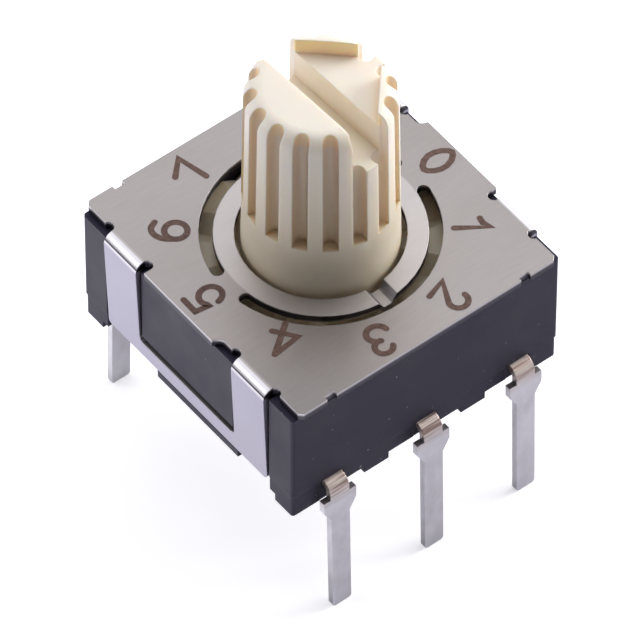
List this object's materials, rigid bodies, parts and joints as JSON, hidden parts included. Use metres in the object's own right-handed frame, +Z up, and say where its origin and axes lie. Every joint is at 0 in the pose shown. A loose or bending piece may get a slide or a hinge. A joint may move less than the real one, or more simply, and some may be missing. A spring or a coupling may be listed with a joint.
{
  "type": "rotary dip switch",
  "caption": "Square rotary coded DIP switch with a tall fluted knob, a sprung metal cover and through-hole leads along both sides.",
  "frame": {"origin": "centre of the plane that the base's feet stand on, which is the board's face", "axes": "+Z up along the knob, out of the board; +X along the lead rows, towards dial position 0; -Y towards the lead row that the picture shows in front"},
  "size_m": [0.0074, 0.008, 0.0116],
  "materials": {
    "cover_steel": "satin rolled stainless sheet",
    "housing_plastic": "fine moulded satin",
    "rotor_plastic": "smooth moulded ivory",
    "seal_rubber": "smooth silicone",
    "contact_gold": "gold plated",
    "lead_tin": "tin plated copper alloy"
  },
  "bodies": {
    "switch_body": {"cover": "cover_steel", "housing": "housing_plastic", "base": "housing_plastic", "terminal_common": "lead_tin", "terminal_1": "lead_tin", "terminal_2": "lead_tin", "terminal_4": "lead_tin", "terminal_8": "lead_tin"},
    "turning_rotor": {"rotor": "rotor_plastic", "seal_ring": "seal_rubber", "code_disc": "contact_gold"}
  },
  "joints": [
    {"name": "rotor_turn", "type": "hinge", "parent": "switch_body", "child": "turning_rotor", "pos_m": [0, 0, 0.003], "axis": [0, 0, 1], "continuous": true}
  ]
}
